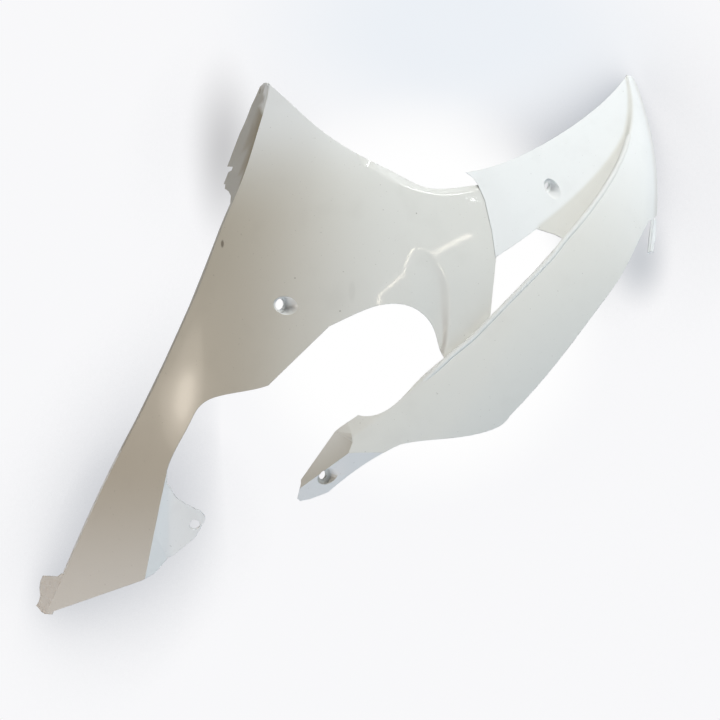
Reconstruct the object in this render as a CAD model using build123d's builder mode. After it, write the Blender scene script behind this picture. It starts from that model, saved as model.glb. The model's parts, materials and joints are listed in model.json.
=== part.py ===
from build123d import *
from math import cos, exp, hypot, log, log1p, radians, sin, sqrt, tan
import os

os.makedirs("parts", exist_ok=True)

# A right-hand side fairing in two bonded mouldings, in millimetres. X runs toward the nose, Z up,
# and the outer side looks along -Y, so a height h stands at y = -h. The origin is the seat of the
# main fixing, where the screw head's face bears in its recess.

# Moulding
wall = 3.0
lap_gap = 0.3
slope_span = 6.0

# Fixings: recesses and holes share the bike's sideways direction
recess_bore = 19.0
main_hole = 12.0
small_hole = 10.0
seat_floor = 3.0
cup_length = 40.0
side_yaw = 38.0
side_dip = 8.0
upper_yaw = 45.0
upper_dip = 20.0
main_place = (0, 0, 0)
tail_place = (45, 1, -179)
upper_place = (291, 111, 133.6)

# Dome of the main panel: slopes that set in at a line and level off over a reach
crown_height = 9.0
left_fall = 0.45
left_reach = 80.0
left_start = 20.0
left_lean = 10.0
shoulder_ease = 0.45
shoulder_from = 40.0
shoulder_to = 260.0
right_fall = 0.56
right_reach = 150.0
right_start = 30.0
top_fall = 0.30
top_twist = 0.20
top_reach = 130.0
top_start = 10.0
twist_from = 20.0
twist_to = 250.0
foot_fall = 0.16
foot_reach = 120.0
foot_start = -60.0

# Saddle: a round notch in the top edge with a rolled rim
saddle_x = 171.0
saddle_z = 228.0
saddle_radius = 100.0
saddle_roll_width = 12.0
saddle_roll_radius = 9.0

# Air scoop: a valley that deepens down to the tongue, broad on its left and steep on its right
scoop_depth = 12.0
scoop_x = 178.0
scoop_z = -2.0
scoop_bow = 120.0
scoop_head = 62.0
scoop_foot = -33.0
scoop_left = 52.0
scoop_right = 12.0

# Return flange along the left edge, and its free edge as (z, depth behind the panel's edge)
flange_draft = 25.0
flange_inset = 1.2
edge_cover = 6.0
flange_edge = [
    (231, -4), (234.5, 3.2), (240, 8), (241, 14), (238, 24), (219, 39), (200, 45), (189, 50), (153, 57), (151, 40),
    (147, 40), (146, 48), (133, 49), (132, 43), (127, 40), (123, 26), (117, 13), (108, 5), (60, 5), (0, 5),
    (-60, 5), (-120, 5), (-200, 5), (-290, 5),
]

# Broken corner flange at the leg's foot
foot_draft = 42.0
foot_inset = 1.8
foot_levels = (-282, -300, -320, -342)
foot_edge = [
    (-292, 4), (-296, 8), (-297.5, 29), (-304, 29), (-311, 26), (-314, 24), (-319, 20), (-326, 18),
    (-331, 19), (-333, 14), (-336, 9), (-338, 3),
]

# Leg: the ridge's ends, the fall of the bevel beside it, and the screw tab
ridge_top = (-121.0, -176.0)
ridge_foot = (-147.0, -294.0)
bevel_fall = 1.2
crease_top = (-122.0, -188.0)
crease_foot = (-125.0, -274.0)
bevel_end = 4.0
leg_middle = -110.0
leg_width = 120.0
leg_foot = -400.0
tab_fall = 0.12
tab_hole_x = -94.0
tab_hole_z = -235.5
tab_hole = 11.5

# Blade, in its own slanted directions: q runs up along it and p across it, away from the main panel
blade_height = 7.0
blade_rake = 0.26
nose_rake = 0.62
nose_reach = 60.0
nose_start = 300.0
blade_crown_radius = 140.0
bead_p = 164.5
bead_low_q = 118.0
bead_low_radius = 1000.0
bead_high_q = 260.0
bead_high_radius = 526.0
bead_hook = 119.0
lip_width = 6.0
tail_lip_width = 16.0
tail_lip_from = 30.0
tail_lip_to = -30.0
step_width = 27.0
step_low_q = 262.0
step_top_q = 440.0
step_run_out = 37.0
step_least = 4.0
step_softness = 0.06

# Scarf that thins the upper panel's free edge over the main panel
scarf_depth = 1.8
scarf_width = 30.0
seam_x = 231.0
seam_z = 45.0
seam_radius = 204.0

# Rolled edge at the nose of the blade panel
nose_edge_x = 427.5
nose_edge_z = 155.0
nose_edge_radius = 380.0
nose_roll_width = 22.0
nose_roll_radius = 14.0

# Tail: the corner where face, facet and wall meet, and how the facet and the wall fall from it
tail_x = 75.0
tail_z = -153.0
facet_right_fall = 0.30
facet_down_fall = 0.80
tail_wall_left_fall = 0.60
tail_wall_up_fall = 0.42

# Small tab behind the nose edge: where it starts, how far it runs and how it leans
nose_tab_start = 140.0
nose_tab_run = 85.0
nose_tab_lean = 0.15

front = -60.0
back = 330.0
upward = (Align.CENTER, Align.CENTER, Align.MIN)


def fold(t):
    """Depth of a fall that starts level and comes to a slope of one."""
    return abs(t) + log1p(exp(-2 * abs(t))) - log(2)


def ramp(t):
    """A smooth corner from level to a slope of one."""
    return max(t, 0.0) + log1p(exp(-abs(t)))


def ease(t):
    """A smooth step from 0 to 1."""
    t = min(max(t, 0.0), 1.0)
    return t * t * (3 - 2 * t)


def rolled(inside, width, radius):
    """Fall of a rolled edge, by the distance from it to a point inside the outline."""
    t = min(max(width - inside, 0.0), 1.5 * width)
    return t * t / (2 * radius)


def dome(x, z):
    """Height of the smooth form that both mouldings share."""
    across = x * cos(radians(left_lean)) - z * sin(radians(left_lean))
    height = crown_height
    if across < left_start:
        shoulder = 1 - shoulder_ease * ease((z - shoulder_from) / (shoulder_to - shoulder_from))
        height -= left_fall * left_reach * fold((left_start - across) / left_reach) * shoulder
    if x > right_start:
        height -= right_fall * right_reach * fold((x - right_start) / right_reach)
    if z > top_start:
        fall = top_fall + top_twist * ease((x - twist_from) / (twist_to - twist_from))
        height -= fall * top_reach * fold((z - top_start) / top_reach)
    if z < foot_start:
        height -= foot_fall * foot_reach * fold((z - foot_start) / foot_reach)
    return height


def stretch(height, x, z):
    """How much longer a wall is along Y than along the normal of a height."""
    slope_x = (height(x + slope_span, z) - height(x - slope_span, z)) / (2 * slope_span)
    slope_z = (height(x, z + slope_span) - height(x, z - slope_span)) / (2 * slope_span)
    return sqrt(1 + slope_x**2 + slope_z**2)


def scoop(x, z):
    """Depth of the air scoop below the dome."""
    valley = scoop_x - (z - scoop_z) ** 2 / (2 * scoop_bow)
    side = (valley - x) / scoop_left if x < valley else (x - valley) / scoop_right
    if side >= 1 or z < scoop_z - scoop_bow:
        return 0.0
    grow = ease((scoop_head - z) / (scoop_head - scoop_foot))
    return scoop_depth * grow * (1 - side * side) ** 2


def main_height(x, z):
    """Height of the main panel's outer face."""
    inside = hypot(x - saddle_x, z - saddle_z) - saddle_radius
    return dome(x, z) - rolled(inside, saddle_roll_width, saddle_roll_radius) - scoop(x, z)


def along_blade(x, z):
    return (x + z) / sqrt(2)


def across_blade(x, z):
    return (x - z) / sqrt(2)


def bead_line(q):
    """Where the beaded edge of the blade runs."""
    low = max(bead_low_q - q, 0.0) ** 2 / (2 * bead_low_radius)
    high = max(q - bead_high_q, 0.0)
    return bead_p - low - high**2 / (2 * bead_high_radius) - (high / bead_hook) ** 6


def side_width(q):
    """Width of the blade's inner side: tail lip, lip at the openings, then the step wall."""
    if q < tail_lip_from:
        return lip_width + (tail_lip_width - lip_width) * ease((tail_lip_from - q) / (tail_lip_from - tail_lip_to))
    if q < step_low_q:
        return lip_width + (step_width - lip_width) * ease((q - step_low_q + step_run_out) / step_run_out)
    return max(step_width * (step_top_q - q) / (step_top_q - step_low_q), step_least)


def blade_face(q, p):
    """Height of the blade's crowned face."""
    height = blade_height - blade_rake * q
    height -= nose_rake * nose_reach * ramp((q - nose_start) / nose_reach)
    return height - max(p - bead_line(q) + lip_width, 0.0) ** 2 / (2 * blade_crown_radius)


def nose_edge(z):
    """Where the blade panel ends at the nose."""
    return nose_edge_x - (z - nose_edge_z) ** 2 / (2 * nose_edge_radius)


def blade_panel_form(x, z):
    """Height of upper panel, step wall and blade at their full wall."""
    q = along_blade(x, z)
    p = across_blade(x, z)
    low = dome(x, z) + (wall + lap_gap) * stretch(dome, x, z)
    side = (p - bead_line(q)) / side_width(q)
    share = step_softness * (ramp((side + 1) / step_softness) - ramp(side / step_softness))
    height = low + (blade_face(q, p) - low) * share
    return height - rolled(nose_edge(z) - x, nose_roll_width, nose_roll_radius)


def blade_panel_height(x, z):
    """Height of the blade panel's outer face, thinned along the seam."""
    beyond_seam = x - seam_x + (z - seam_z) ** 2 / (2 * seam_radius)
    return blade_panel_form(x, z) - scarf_depth * (1 - ease(beyond_seam / scarf_width))


def skin(height, rows, places, set_back):
    """Lofted spline face through rows of (x, z) points on a height, set back along its normal."""
    lines = []
    for row in rows:
        points = [(x, set_back * stretch(height, x, z) - height(x, z), z) for x, z in row]
        lines.append(Wire([Edge.make_spline(points, parameters=places)]))
    return Shell.make_loft(lines).faces()[0]


def steps(*stops):
    """Evenly stepped values through (end, step) stops after a first value."""
    values = [stops[0]]
    for end, step in stops[1:]:
        count = max(round((end - values[-1]) / step), 1)
        first = values[-1]
        values += [first + (end - first) * i / count for i in range(1, count + 1)]
    return values


def share_of(values):
    """Values as shares of their whole run, from 0 to 1."""
    return [(v - values[0]) / (values[-1] - values[0]) for v in values]


def on_plane(plane, x, z):
    """Point of a slanted plane at a place of the side view."""
    reach = (Vector(x, 0, z) - plane.origin).dot(plane.z_dir)
    return Vector(x, -reach / plane.z_dir.Y, z)


def sideways(yaw, dip):
    """Outward direction turned toward the nose by a yaw and downward by a dip, in degrees."""
    level = cos(radians(dip))
    return Vector(sin(radians(yaw)) * level, -cos(radians(yaw)) * level, -sin(radians(dip)))


def on_edge(z):
    """Place and depth of the main panel's left edge at a level."""
    for (x0, z0), (x1, z1) in zip(left_edge, left_edge[1:]):
        if z1 <= z:
            break
    x = x0 + (x1 - x0) * (z - z0) / (z1 - z0)
    return x, -main_height(x, z)


def flange_band(levels, draft, inset):
    """Outer and inner lines of a drafted flange, where it crosses the plane y = 0."""
    outer = []
    for z in levels:
        x, y = on_edge(z)
        outer.append((x + inset + y * tan(radians(draft)), z))
    return outer, [(x + wall / cos(radians(draft)), z) for x, z in outer]


main_columns = steps(-300, (60, 30), (150, 13), (220, 7), (265, 15))
main_lines = steps(-370, (-90, 31), (110, 12.5), (140, 7.5), (270, 32))
main_rows = [[(x, z) for x in main_columns] for z in main_lines]
main_places = share_of(main_columns)

before_fold = [-130, -100, -70, -45, -25, -11, -4]
side_shares = [-1, -0.67, -0.33]
after_bead = [0, 3, 8, 16, 28, 42, 58, 75, 95, 125]
blade_rows = []
for q in steps(-170, (500, 19)):
    width = side_width(q)
    across = [d - width for d in before_fold] + [share * width for share in side_shares] + after_bead
    blade_rows.append([((q + bead_line(q) + d) / sqrt(2), (q - bead_line(q) - d) / sqrt(2)) for d in across])
usual_across = [d - step_width / 2 for d in before_fold] + [share * step_width / 2 for share in side_shares]
blade_places = share_of(usual_across + after_bead)

# Outline of the main panel as (x, z)
left_edge = [
    (-14, 246), (-18, 216), (-25, 190), (-41, 137), (-60, 91), (-85, 26), (-113, -37), (-151, -114),
    (-191, -188), (-240, -290), (-266, -343),
]
tip_corner = (-24, 246)
foot_corner = (-280, -336)
foot_line = [foot_corner, (-256, -335.6), (-151, -295.5), (-137, -288), crease_foot, crease_top, (-121.5, -176)]
waist = [(-121.5, -176), (-117, -164), (-96, -125), (-86, -108), (-77, -101), (-63, -96), (-31, -90), (-12, -85)]
arch_start = (52, -23)
arch = [arch_start, (77, -11), (109, 0), (138, -2), (162, -24), (169, -47), (174, -57)]
tongue_end = [(174, -57), (178, -68), (219, -37), (224, -14), (226, 9), (231, 53), (241, 62), (228, 128), (213, 132)]
saddle_edge = [(213, 132), (181, 127), (159, 126), (127, 139), (84, 159), (42, 186), (-13, 237), tip_corner]

# Outline of the blade panel as (x, z)
seam = [(198, 145), (207, 139), (212, 131), (219, 115), (226, 82), (230, 52)]
window_top = [(230, 52), (258, 71), (277, 85), (297, 79), (306, 74)]
blade_lip = [(306, 74), (256, 20), (212, -24), (173, -56), (145, -80), (115, -109), (94, -117), (82, -116)]
tail_edge = [
    (82, -116), (63, -129), (58, -133), (22, -184), (22, -188), (18, -204), (21, -207), (31, -205), (50, -198),
]
tail_foot = [(50, -198), (74, -178), (94, -164), (126, -147)]
blade_foot = [(126, -147), (169, -142), (223, -134), (235, -129), (246, -118)]
blade_edge = [(246, -118), (302, -57), (348, 1), (373, 34), (398, 78), (410, 98)]
nose = [(nose_edge(z), z) for z in (108, 150, 200, 240, 265)] + [(406, 276)]
brow = [(397, 276), (379, 254), (346, 223), (296, 187), (249, 161), (198, 145)]

# Outlines of the screw tab and of the small tab behind the nose edge
tab_sides = [
    (-86, -236), (-94, -250), (-116, -268), (-124, -272.5), (-129, -270), (-126, -190.5), (-120.5, -190.5),
    (-113, -205), (-100, -214), (-88, -220),
]
tab_end = [(-88, -220), (-83, -226), (-86, -236)]
nose_tab_band = [(407, 64), (410, 64), (415, 107), (417, 150), (414, 150), (412, 107)]
nose_tab_edge = [(188, 64), (222, 130), (222, 150)]

# Planes: bevel beside the ridge, screw tab, tail facet and tail wall
ridge_start = Vector(ridge_top[0], -main_height(*ridge_top), ridge_top[1])
ridge_run = Vector(ridge_foot[0], -main_height(*ridge_foot), ridge_foot[1]) - ridge_start
ridge_side = Vector(-ridge_run.Z, 0, ridge_run.X).normalized() + Vector(0, bevel_fall, 0)
bevel = Plane(ridge_start, x_dir=ridge_run, z_dir=ridge_run.cross(ridge_side))

crease_start = on_plane(bevel, *crease_top)
crease_run = on_plane(bevel, *crease_foot) - crease_start
tab_plane = Plane(crease_start, x_dir=crease_run, z_dir=crease_run.cross(Vector(1, tab_fall, 0)))

tail_corner = (tail_x, -blade_face(along_blade(tail_x, tail_z), across_blade(tail_x, tail_z)), tail_z)
facet = Plane(tail_corner, z_dir=(facet_right_fall, -1, -facet_down_fall))
tail_wall = Plane(tail_corner, z_dir=(-tail_wall_left_fall, -1, tail_wall_up_fall))

# Seats of the fixings
main_seat = Plane(main_place, z_dir=sideways(side_yaw, side_dip))
tail_seat = Plane(tail_place, z_dir=sideways(side_yaw, side_dip))
upper_seat = Plane(upper_place, z_dir=sideways(upper_yaw, upper_dip))
tab_seat = Plane(on_plane(tab_plane, tab_hole_x, tab_hole_z), z_dir=tab_plane.z_dir)

# Everything behind the main panel's outer face, and behind its inner face
with BuildPart() as bevel_cut:
    with Locations((leg_middle, (front + back) / 2, leg_foot)):
        Box(leg_width, back - front, ridge_top[1] - leg_foot, align=upward)
    split(bisect_by=bevel, keep=Keep.TOP)

with BuildPart() as bevel_hollow:
    with Locations((leg_middle, (front + back) / 2, leg_foot)):
        Box(leg_width, back - front, ridge_top[1] - bevel_end - leg_foot, align=upward)
    split(bisect_by=bevel.offset(-wall), keep=Keep.TOP)

with BuildPart() as main_front:
    extrude(skin(main_height, main_rows, main_places, 0), amount=back - front, dir=(0, 1, 0))
    add(bevel_cut.part, mode=Mode.SUBTRACT)

with BuildPart() as main_hollow:
    extrude(skin(main_height, main_rows, main_places, wall), amount=back - front, dir=(0, 1, 0))
    add(bevel_hollow.part, mode=Mode.SUBTRACT)

# Drafted flanges of the main panel
flange_outer, flange_inner = flange_band([z for x, z in left_edge], flange_draft, flange_inset)
flange_way = (-tan(radians(flange_draft)), 1, 0)

with BuildPart() as left_flange:
    with BuildSketch(Plane.XZ):
        with BuildLine():
            cover_line = [(x - edge_cover, z) for x, z in flange_outer]
            Spline(cover_line)
            Line(cover_line[-1], flange_inner[-1])
            Spline(flange_inner)
            Line(flange_inner[0], cover_line[0])
        make_face()
    extrude(amount=back, dir=flange_way, both=True)
    with BuildSketch(Plane.YZ):
        with BuildLine():
            edge_line = [(on_edge(z)[1] + depth, z) for z, depth in flange_edge]
            Polyline((front, flange_edge[0][0]), *edge_line, (front, flange_edge[-1][0]), close=True)
        make_face()
    extrude(amount=back, both=True, mode=Mode.INTERSECT)
    add(main_front.part, mode=Mode.INTERSECT)

with BuildPart() as beyond_flange:
    with BuildSketch(Plane.XZ):
        with BuildLine():
            Spline(flange_outer)
            Polyline(flange_outer[-1], (-back, flange_outer[-1][1]), (-back, flange_outer[0][1]), flange_outer[0])
        make_face()
    extrude(amount=back, dir=flange_way, both=True)

with BuildPart() as foot_flange:
    outer_line, inner_line = flange_band(foot_levels, foot_draft, foot_inset)
    with BuildSketch(Plane.XZ):
        with BuildLine():
            Spline(outer_line)
            Line(outer_line[-1], inner_line[-1])
            Spline(inner_line)
            Line(inner_line[0], outer_line[0])
        make_face()
    extrude(amount=back, dir=(-tan(radians(foot_draft)), 1, 0), both=True)
    with BuildSketch(Plane.YZ):
        with BuildLine():
            edge_line = [(on_edge(z)[1] + depth, z) for z, depth in foot_edge]
            Polyline((front, foot_edge[0][0]), *edge_line, (front, foot_edge[-1][0]), close=True)
        make_face()
    extrude(amount=2 * back, both=True, mode=Mode.INTERSECT)
    add(main_front.part, mode=Mode.INTERSECT)

with BuildPart() as screw_tab:
    with BuildSketch(Plane.XZ.offset(-back)):
        with BuildLine():
            Polyline(tab_sides)
            Spline(tab_end)
        make_face()
    extrude(amount=back - front)
    split(bisect_by=tab_plane, keep=Keep.BOTTOM)
    split(bisect_by=tab_plane.offset(-wall), keep=Keep.TOP)

with BuildPart() as main_cup:
    with Locations(main_seat.offset(-seat_floor)):
        Cylinder(recess_bore / 2 + wall, cup_length, align=upward)
    add(main_front.part, mode=Mode.INTERSECT)

with BuildPart() as main_panel:
    with BuildSketch(Plane.XZ.offset(-back)):
        with BuildLine():
            Line(tip_corner, foot_corner)
            Polyline(foot_line)
            Spline(waist)
            Line(waist[-1], arch_start)
            Spline(arch)
            Polyline(tongue_end)
            Spline(saddle_edge)
        make_face()
    extrude(amount=back - front)
    add(main_front.part, mode=Mode.INTERSECT)
    add(main_hollow.part, mode=Mode.SUBTRACT)
    add(left_flange.part)
    add(beyond_flange.part, mode=Mode.SUBTRACT)
    add(foot_flange.part)
    add(screw_tab.part)
    add(main_cup.part)
    with Locations(main_seat):
        Cylinder(recess_bore / 2, cup_length, align=upward, mode=Mode.SUBTRACT)
        Cylinder(main_hole / 2, 3 * seat_floor, mode=Mode.SUBTRACT)
    with Locations(tab_seat):
        Cylinder(tab_hole / 2, 3 * wall, mode=Mode.SUBTRACT)

main_panel.part.label = "main_panel"
export_step(main_panel.part, "parts/main_panel.step")

# Everything behind the blade panel's outer face, and behind its inner face
with BuildPart() as blade_front:
    extrude(skin(blade_panel_height, blade_rows, blade_places, 0), amount=back - front, dir=(0, 1, 0))
    split(bisect_by=facet, keep=Keep.BOTTOM)
    split(bisect_by=tail_wall, keep=Keep.BOTTOM)

with BuildPart() as blade_hollow:
    extrude(skin(blade_panel_form, blade_rows, blade_places, wall), amount=back - front, dir=(0, 1, 0))
    split(bisect_by=facet.offset(-wall), keep=Keep.BOTTOM)
    split(bisect_by=tail_wall.offset(-wall), keep=Keep.BOTTOM)

with BuildPart() as tail_cup:
    with Locations(tail_seat.offset(-seat_floor)):
        Cylinder(recess_bore / 2 + wall, cup_length, align=upward)
    add(blade_front.part, mode=Mode.INTERSECT)

with BuildPart() as upper_cup:
    with Locations(upper_seat.offset(-seat_floor)):
        Cylinder(recess_bore / 2 + wall, cup_length, align=upward)
    add(blade_front.part, mode=Mode.INTERSECT)

with BuildPart() as nose_tab:
    with BuildSketch(Plane.XZ.offset(-nose_tab_start)):
        with BuildLine():
            Polyline(nose_tab_band, close=True)
        make_face()
    extrude(amount=nose_tab_run, dir=(nose_tab_lean, 1, 0))
    with BuildSketch(Plane.YZ):
        with BuildLine():
            Polyline((front, nose_tab_edge[0][1]), *nose_tab_edge, (front, nose_tab_edge[-1][1]), close=True)
        make_face()
    extrude(amount=2 * back, mode=Mode.INTERSECT)
    add(blade_front.part, mode=Mode.INTERSECT)

with BuildPart() as blade_panel:
    with BuildSketch(Plane.XZ.offset(-back)):
        with BuildLine():
            Polyline(seam)
            Polyline(window_top)
            Spline(blade_lip)
            Polyline(tail_edge)
            Spline(tail_foot)
            Spline(blade_foot)
            Spline(blade_edge)
            Line(blade_edge[-1], nose[0])
            Spline(nose)
            Line(nose[-1], brow[0])
            Spline(brow)
        make_face()
    extrude(amount=back - front)
    add(blade_front.part, mode=Mode.INTERSECT)
    add(blade_hollow.part, mode=Mode.SUBTRACT)
    add(nose_tab.part)
    add(tail_cup.part)
    add(upper_cup.part)
    with Locations(tail_seat, upper_seat):
        Cylinder(recess_bore / 2, cup_length, align=upward, mode=Mode.SUBTRACT)
        Cylinder(small_hole / 2, 3 * seat_floor, mode=Mode.SUBTRACT)

blade_panel.part.label = "blade_panel"
export_step(blade_panel.part, "parts/blade_panel.step")
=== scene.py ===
"""Looks of an off-white motorcycle side fairing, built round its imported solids.

Lengths inside the form classes are in millimetres, as the part's source has them. Everything that
goes to Blender is in metres. The outer side looks along -Y, so a height h stands at y = -h.
"""

from __future__ import annotations

import json
import logging
import math
from abc import ABC, abstractmethod
from collections.abc import Callable
from dataclasses import dataclass
from enum import Enum

import bmesh
import bpy
from mathutils import Matrix, Vector

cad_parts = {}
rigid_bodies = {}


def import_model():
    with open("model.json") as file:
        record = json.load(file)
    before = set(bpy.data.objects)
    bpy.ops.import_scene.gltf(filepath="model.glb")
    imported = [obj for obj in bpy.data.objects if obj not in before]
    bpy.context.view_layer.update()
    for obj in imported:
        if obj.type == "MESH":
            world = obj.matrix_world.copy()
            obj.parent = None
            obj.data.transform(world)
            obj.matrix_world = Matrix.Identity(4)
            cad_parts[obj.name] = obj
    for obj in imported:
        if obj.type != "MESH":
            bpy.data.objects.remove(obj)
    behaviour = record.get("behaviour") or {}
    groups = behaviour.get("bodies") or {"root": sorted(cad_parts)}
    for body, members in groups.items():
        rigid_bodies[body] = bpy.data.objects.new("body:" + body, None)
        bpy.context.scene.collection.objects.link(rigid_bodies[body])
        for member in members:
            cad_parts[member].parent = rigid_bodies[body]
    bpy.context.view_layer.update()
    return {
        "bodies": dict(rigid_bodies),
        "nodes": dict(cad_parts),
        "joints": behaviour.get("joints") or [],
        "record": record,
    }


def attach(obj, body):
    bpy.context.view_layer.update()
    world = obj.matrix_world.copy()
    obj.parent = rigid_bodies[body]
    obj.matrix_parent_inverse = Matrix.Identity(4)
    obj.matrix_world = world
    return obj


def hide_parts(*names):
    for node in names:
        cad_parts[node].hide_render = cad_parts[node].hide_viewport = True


LOG = logging.getLogger("fairing")
MM = 0.001
ROOT_TWO = math.sqrt(2)
# A rolled edge goes on past its outline, to this many widths in all.
ROLL_LIMIT = 1.5

Pair = tuple[float, float]
Triple = tuple[float, float, float]
Socket = bpy.types.NodeSocket
Feeds = dict[str | int, object]


class Region(Enum):
    """Which skin of a moulding a face belongs to."""

    OTHER = 0
    OUTER = 1


class LampFace(Enum):
    """Shape of a lamp's lit face."""

    OBLONG = "RECTANGLE"
    OVAL = "ELLIPSE"


def fold(t: float) -> float:
    """Depth of a fall that starts level and comes to a slope of one."""
    return abs(t) + math.log1p(math.exp(-2 * abs(t))) - math.log(2)


def ramp(t: float) -> float:
    """A smooth corner from level to a slope of one."""
    return max(t, 0.0) + math.log1p(math.exp(-abs(t)))


def ease(t: float) -> float:
    """A smooth step from 0 to 1."""
    t = min(max(t, 0.0), 1.0)
    return t * t * (3 - 2 * t)


def rolled(inside: float, width: float, radius: float) -> float:
    """Fall of a rolled edge.

    Args:
        inside: Distance from the edge to a point inside the outline.
        width: Width of the rolled strip.
        radius: Radius of the roll.

    Returns:
        How far the surface has fallen there.
    """
    t = min(max(width - inside, 0.0), ROLL_LIMIT * width)
    return t * t / (2 * radius)


def slopes(height: Callable[[float, float], float], x: float, z: float, nudge: float) -> Pair:
    """Slopes of a height along x and along z.

    Args:
        height: Gives the height over a place.
        x: Place along the motorcycle.
        z: Place upwards.
        nudge: How far the compared places lie to each side.

    Returns:
        The slope along x and the slope along z.
    """
    along_x = (height(x + nudge, z) - height(x - nudge, z)) / (2 * nudge)
    along_z = (height(x, z + nudge) - height(x, z - nudge)) / (2 * nudge)
    return along_x, along_z


def slanted(x: float, z: float) -> Pair:
    """Turns a place (x, z) into the blade's own directions (q, p), and those back into (x, z)."""
    return (x + z) / ROOT_TWO, (x - z) / ROOT_TWO


def opaque(colour: Triple) -> tuple[float, float, float, float]:
    """A colour with full cover."""
    return (*colour, 1.0)


@dataclass(frozen=True)
class Wiring:
    """A node tree that is being filled."""

    tree: bpy.types.NodeTree

    def add(self, kind: str, inputs: Feeds | None = None, **settings: object) -> bpy.types.Node:
        """Adds a node.

        Args:
            kind: The node's type.
            inputs: What each input gets, by name or number.
            **settings: The node's own options, which are set first.

        Returns:
            The new node.
        """
        node = self.tree.nodes.new(kind)
        for name, setting in settings.items():
            setattr(node, name, setting)
        self.feed(node, inputs or {})
        return node

    def feed(self, node: bpy.types.Node, inputs: Feeds) -> None:
        """Links or sets a node's inputs.

        Args:
            node: The node.
            inputs: Another node's output or a plain value for each input, by name or number.
        """
        for name, value in inputs.items():
            if isinstance(value, Socket):
                self.tree.links.new(value, node.inputs[name])
            else:
                node.inputs[name].default_value = value

    def span(self, value: Socket, start: Socket | float, end: Socket | float) -> Socket:
        """A smooth step from 0 at a start to 1 at an end."""
        inputs = {"Value": value, "From Min": start, "From Max": end}
        return self.add("ShaderNodeMapRange", inputs, interpolation_type="SMOOTHSTEP").outputs["Result"]

    def times(self, a: Socket, b: Socket | float) -> Socket:
        """The product of two values."""
        return self.add("ShaderNodeMath", {0: a, 1: b}, operation="MULTIPLY").outputs["Value"]

    def blend(self, factor: Socket, base: Socket | tuple, colour: Socket | tuple) -> Socket:
        """A mix that goes from a base colour to another as the factor goes from 0 to 1."""
        inputs = {"Factor": factor, "A": base, "B": colour}
        return self.add("ShaderNodeMix", inputs, data_type="RGBA").outputs["Result"]

    def noise(self, where: Socket, scale: float, detail: float) -> Socket:
        """A cloudy pattern."""
        inputs = {"Vector": where, "Scale": scale, "Detail": detail}
        return self.add("ShaderNodeTexNoise", inputs).outputs["Fac"]

    def attribute(self, name: str) -> Socket:
        """A value that the mesh carries."""
        return self.add("ShaderNodeAttribute", attribute_name=name).outputs["Fac"]


def new_group(name: str, kind: str, given: dict[str, str], made: dict[str, str]) -> Wiring:
    """Starts a node group.

    Args:
        name: The group's name.
        kind: The type of its tree.
        given: The sort of each named input.
        made: The sort of each named output.

    Returns:
        The group, with its sockets and no nodes.
    """
    tree = bpy.data.node_groups.new(name, kind)
    for label, sort in given.items():
        tree.interface.new_socket(label, in_out="INPUT", socket_type=f"NodeSocket{sort}")
    for label, sort in made.items():
        tree.interface.new_socket(label, in_out="OUTPUT", socket_type=f"NodeSocket{sort}")
    return Wiring(tree)


@dataclass(frozen=True)
class DomeForm:
    """The smooth form that both mouldings share."""

    crown_height: float = 9.0
    left_fall: float = 0.45
    left_reach: float = 80.0
    left_start: float = 20.0
    left_lean: float = 10.0
    shoulder_ease: float = 0.45
    shoulder_from: float = 40.0
    shoulder_to: float = 260.0
    right_fall: float = 0.56
    right_reach: float = 150.0
    right_start: float = 30.0
    top_fall: float = 0.30
    top_twist: float = 0.20
    top_reach: float = 130.0
    top_start: float = 10.0
    twist_from: float = 20.0
    twist_to: float = 250.0
    foot_fall: float = 0.16
    foot_reach: float = 120.0
    foot_start: float = -60.0
    stretch_nudge: float = 6.0

    def height(self, x: float, z: float) -> float:
        """Height of the form over a place.

        Args:
            x: Place along the motorcycle.
            z: Place upwards.

        Returns:
            The height.
        """
        lean = math.radians(self.left_lean)
        across = x * math.cos(lean) - z * math.sin(lean)
        height = self.crown_height
        if across < self.left_start:
            span = self.shoulder_to - self.shoulder_from
            shoulder = 1 - self.shoulder_ease * ease((z - self.shoulder_from) / span)
            fall = self.left_fall * self.left_reach
            height -= fall * fold((self.left_start - across) / self.left_reach) * shoulder
        if x > self.right_start:
            fall = self.right_fall * self.right_reach
            height -= fall * fold((x - self.right_start) / self.right_reach)
        if z > self.top_start:
            twist = ease((x - self.twist_from) / (self.twist_to - self.twist_from))
            fall = (self.top_fall + self.top_twist * twist) * self.top_reach
            height -= fall * fold((z - self.top_start) / self.top_reach)
        if z < self.foot_start:
            fall = self.foot_fall * self.foot_reach
            height -= fall * fold((z - self.foot_start) / self.foot_reach)
        return height

    def stretch(self, x: float, z: float) -> float:
        """How much longer a wall is along Y than along the form's normal."""
        along_x, along_z = slopes(self.height, x, z, self.stretch_nudge)
        return math.sqrt(1 + along_x**2 + along_z**2)


class PanelForm(ABC):
    """A moulding's outer face as a height over (x, z)."""

    nudge: float = 0.6
    inner_facing: float = 0.3

    @abstractmethod
    def height(self, x: float, z: float) -> float:
        """Height of the outer face over a place."""

    @abstractmethod
    def grain(self, x: float, z: float) -> float:
        """Longest mesh edge that the form needs at a place."""

    @abstractmethod
    def tone(self, x: float, z: float, outer: bool, facing: Vector) -> Pair:
        """How much painted light and painted shade a place gets, each from 0 to 1."""

    def shift(self, x: float, z: float) -> float:
        """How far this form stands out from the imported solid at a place."""
        return 0.0

    def normal(self, x: float, z: float) -> Vector:
        """Outward normal of the outer face over a place."""
        along_x, along_z = slopes(self.height, x, z, self.nudge)
        return Vector((-along_x, -1.0, -along_z)).normalized()


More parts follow.
